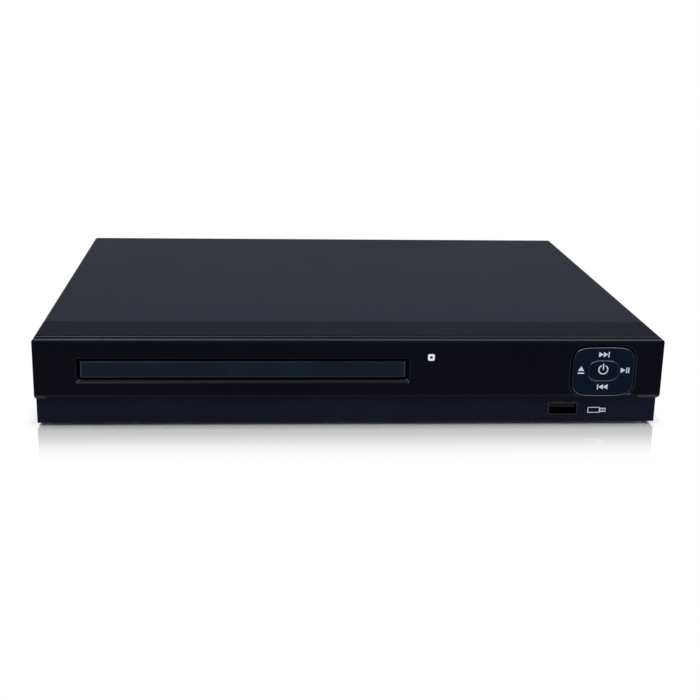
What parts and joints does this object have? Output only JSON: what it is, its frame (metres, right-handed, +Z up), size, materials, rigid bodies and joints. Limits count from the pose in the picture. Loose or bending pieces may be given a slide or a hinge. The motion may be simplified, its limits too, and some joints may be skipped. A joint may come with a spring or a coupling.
{
  "type": "disc player with tray",
  "caption": "Slim home disc player with a motor-driven tray, a rocker pad with a power button, a front memory socket and sockets at the rear.",
  "frame": {"origin": "on the floor, at the middle of the outline", "axes": "+Z up, the front panel faces -Y, +X to the right of someone who faces the front"},
  "size_m": [0.27, 0.2242, 0.0405],
  "materials": {
    "cover_paint": "satin textured",
    "bezel_plastic": "fine moulded satin",
    "gloss_black": "polished",
    "door_plastic": "satin gloss",
    "pad_plastic": "satin gloss",
    "window": "polished",
    "zinc_steel": "zinc plated",
    "black_screw": "black zinc",
    "foam": "closed cell",
    "board_green": "solder mask",
    "board_tan": "bare laminate",
    "chip_black": "moulded epoxy",
    "cap_sleeve": "shrink sleeve",
    "nickel_shell": "nickel plated",
    "socket_black": "moulded",
    "jack_plating": "gold plated",
    "ferrite": "sintered",
    "fuse_glass": "clear",
    "lead_vinyl": "extruded",
    "ribbon_film": "laminated film",
    "loader_plastic": "moulded",
    "gear_plastic": "moulded acetal",
    "motor_steel": "plated",
    "rod_steel": "ground and polished",
    "pulley_brass": "turned",
    "belt_rubber": "matte",
    "turntable_plastic": "moulded",
    "pickup_alloy": "die cast",
    "lens": "coated"
  },
  "bodies": {
    "case": {"base_pan": "zinc_steel", "rear_panel": "zinc_steel", "top_cover": "cover_paint", "front_bezel": "bezel_plastic", "front_fascia": "gloss_black", "rubber_feet": "foam", "cover_screws": "black_screw", "rear_screws": "black_screw", "loader_screws": "zinc_steel", "board_screws": "zinc_steel", "ir_window": "window", "front_board": "board_green", "tact_switches": "chip_black", "ir_receiver": "chip_black", "usb_shell": "nickel_shell", "usb_tongue": "socket_black", "usb_board": "board_green", "main_board": "board_green", "main_chips": "chip_black", "board_capacitors": "cap_sleeve", "hdmi_socket": "nickel_shell", "scart_socket": "socket_black", "rca_block": "socket_black", "rca_jacks": "jack_plating", "mains_inlet": "socket_black", "inlet_pins": "nickel_shell", "power_board": "board_tan", "transformer": "ferrite", "power_capacitors": "cap_sleeve", "heat_sink": "zinc_steel", "fuse": "fuse_glass", "power_harness": "lead_vinyl", "ribbon_cable": "ribbon_film", "loader_frame": "loader_plastic", "clamp_bridge": "loader_plastic", "loading_motor": "motor_steel", "drive_belt": "belt_rubber"},
    "tray": {"disc_tray": "loader_plastic", "tray_door": "door_plastic"},
    "tray_gear": {"tray_gear": "gear_plastic"},
    "pulley_gear": {"pulley_gear": "gear_plastic"},
    "motor_pulley": {"motor_pulley": "pulley_brass"},
    "cam_slider": {"cam_slider": "gear_plastic"},
    "traverse": {"traverse_chassis": "loader_plastic", "spindle_motor": "motor_steel", "guide_rods": "rod_steel", "feed_motor": "motor_steel"},
    "turntable": {"turntable": "turntable_plastic", "turntable_pad": "belt_rubber"},
    "pickup": {"pickup_body": "pickup_alloy", "pickup_lens": "lens", "pickup_rack": "gear_plastic"},
    "feed_gear": {"feed_gear": "gear_plastic"},
    "feed_pinion": {"feed_pinion": "gear_plastic"},
    "clamp": {"disc_clamp": "gear_plastic", "clamp_plate": "zinc_steel"},
    "pad_carrier": {"pad_carrier": "gear_plastic"},
    "rocker_pad": {"rocker_pad": "pad_plastic"},
    "power_button": {"power_button": "pad_plastic"}
  },
  "joints": [
    {"name": "tray_slide", "type": "slide", "parent": "case", "child": "tray", "axis": [0, -1, 0], "range_m": [0, 0.132]},
    {"name": "tray_gear_spin", "type": "hinge", "parent": "case", "child": "tray_gear", "pos_m": [0.0018, -0.0858, 0.0236], "axis": [0, 0, 1], "continuous": true},
    {"name": "pulley_gear_spin", "type": "hinge", "parent": "case", "child": "pulley_gear", "pos_m": [-0.0192, -0.0858, 0.0236], "axis": [0, 0, 1], "continuous": true},
    {"name": "motor_pulley_spin", "type": "hinge", "parent": "case", "child": "motor_pulley", "pos_m": [-0.0532, -0.0858, 0.0236], "axis": [0, 0, 1], "continuous": true},
    {"name": "traverse_tilt", "type": "hinge", "parent": "case", "child": "traverse", "pos_m": [-0.0462, 0.0422, 0.016], "axis": [1, 0, 0], "range_deg": [0, 2.75]},
    {"name": "cam_slide", "type": "slide", "parent": "case", "child": "cam_slider", "axis": [1, 0, 0], "range_m": [0, 0.02]},
    {"name": "turntable_spin", "type": "hinge", "parent": "traverse", "child": "turntable", "pos_m": [-0.0462, -0.0433, 0.0296], "axis": [0, 0, 1], "continuous": true},
    {"name": "clamp_spin", "type": "hinge", "parent": "case", "child": "clamp", "pos_m": [-0.0462, -0.0433, 0.0312], "axis": [0, 0, 1], "continuous": true},
    {"name": "pickup_slide", "type": "slide", "parent": "traverse", "child": "pickup", "axis": [0, 1, 0], "range_m": [0, 0.036]},
    {"name": "feed_gear_spin", "type": "hinge", "parent": "traverse", "child": "feed_gear", "pos_m": [-0.0102, -0.02594, 0.0236], "axis": [0, 0, 1], "continuous": true},
    {"name": "feed_pinion_spin", "type": "hinge", "parent": "traverse", "child": "feed_pinion", "pos_m": [-0.0182, -0.0398, 0.0236], "axis": [0, 0, 1], "continuous": true},
    {"name": "pad_tip", "type": "hinge", "parent": "case", "child": "pad_carrier", "pos_m": [0.1091, -0.10785, 0.0259], "axis": [1, 0, 0], "range_deg": [-2, 2], "stiffness_Nm_per_rad": 0.3},
    {"name": "pad_rock", "type": "hinge", "parent": "pad_carrier", "child": "rocker_pad", "pos_m": [0.1091, -0.10785, 0.0259], "axis": [0, 0, 1], "range_deg": [-2, 2], "stiffness_Nm_per_rad": 0.3},
    {"name": "power_press", "type": "slide", "parent": "case", "child": "power_button", "axis": [0, 1, 0], "range_m": [0, 0.0005], "stiffness_N_per_m": 800}
  ],
  "couplings": [
    {"joint": "tray_gear_spin", "follows": "tray_slide", "rad_per_m": -142.86},
    {"joint": "pulley_gear_spin", "follows": "tray_slide", "rad_per_m": 357.14},
    {"joint": "motor_pulley_spin", "follows": "tray_slide", "rad_per_m": 1428.6},
    {"joint": "cam_slide", "follows": "traverse_tilt", "m_per_rad": 0.4167},
    {"joint": "clamp_spin", "follows": "turntable_spin", "ratio": 1},
    {"joint": "feed_gear_spin", "follows": "pickup_slide", "rad_per_m": -208.33},
    {"joint": "feed_pinion_spin", "follows": "pickup_slide", "rad_per_m": 625}
  ]
}
